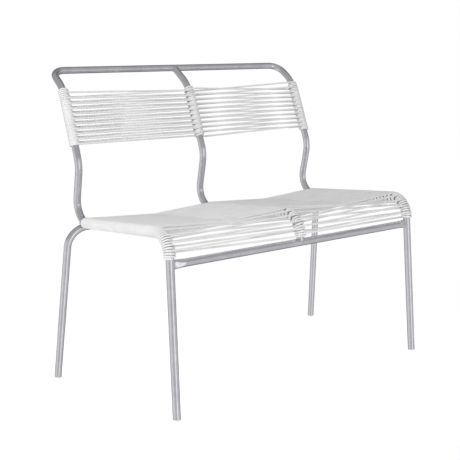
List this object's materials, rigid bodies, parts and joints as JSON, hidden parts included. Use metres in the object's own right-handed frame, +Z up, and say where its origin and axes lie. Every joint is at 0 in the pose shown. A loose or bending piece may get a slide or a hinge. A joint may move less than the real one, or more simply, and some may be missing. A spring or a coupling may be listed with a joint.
{
  "type": "garden bench",
  "caption": "Garden bench with a bent galvanised tube frame, splayed rear legs, and a seat and back laced with plastic cord round side and middle rails.",
  "frame": {"origin": "on the floor, in the middle of the bench's overall box", "axes": "+Z up, +X along the bench's width, -Y the way a sitter faces"},
  "size_m": [0.9064, 0.59, 0.85],
  "materials": {
    "steel_tube": "hot-dip galvanised steel tube, satin, faintly mottled",
    "weld_bead": "galvanised weld bead, slightly rougher than the tube",
    "glide_plastic": "pale translucent polythene, satin",
    "lacing_cord": "white solid PVC cord, satin to gloss"
  },
  "bodies": {
    "root": {"outer_frame_tube": "steel_tube", "middle_rail": "steel_tube", "rear_leg_hoop": "steel_tube", "front_crossbar": "steel_tube", "weld_middle_rail_top": "weld_bead", "weld_middle_rail_front": "weld_bead", "weld_crossbar_left": "weld_bead", "weld_crossbar_right": "weld_bead", "weld_hoop_left": "weld_bead", "weld_hoop_middle": "weld_bead", "weld_hoop_right": "weld_bead", "glide_front_left": "glide_plastic", "glide_front_right": "glide_plastic", "glide_rear_left": "glide_plastic", "glide_rear_right": "glide_plastic", "seat_cord": "lacing_cord", "back_cord": "lacing_cord"}
  },
  "joints": []
}
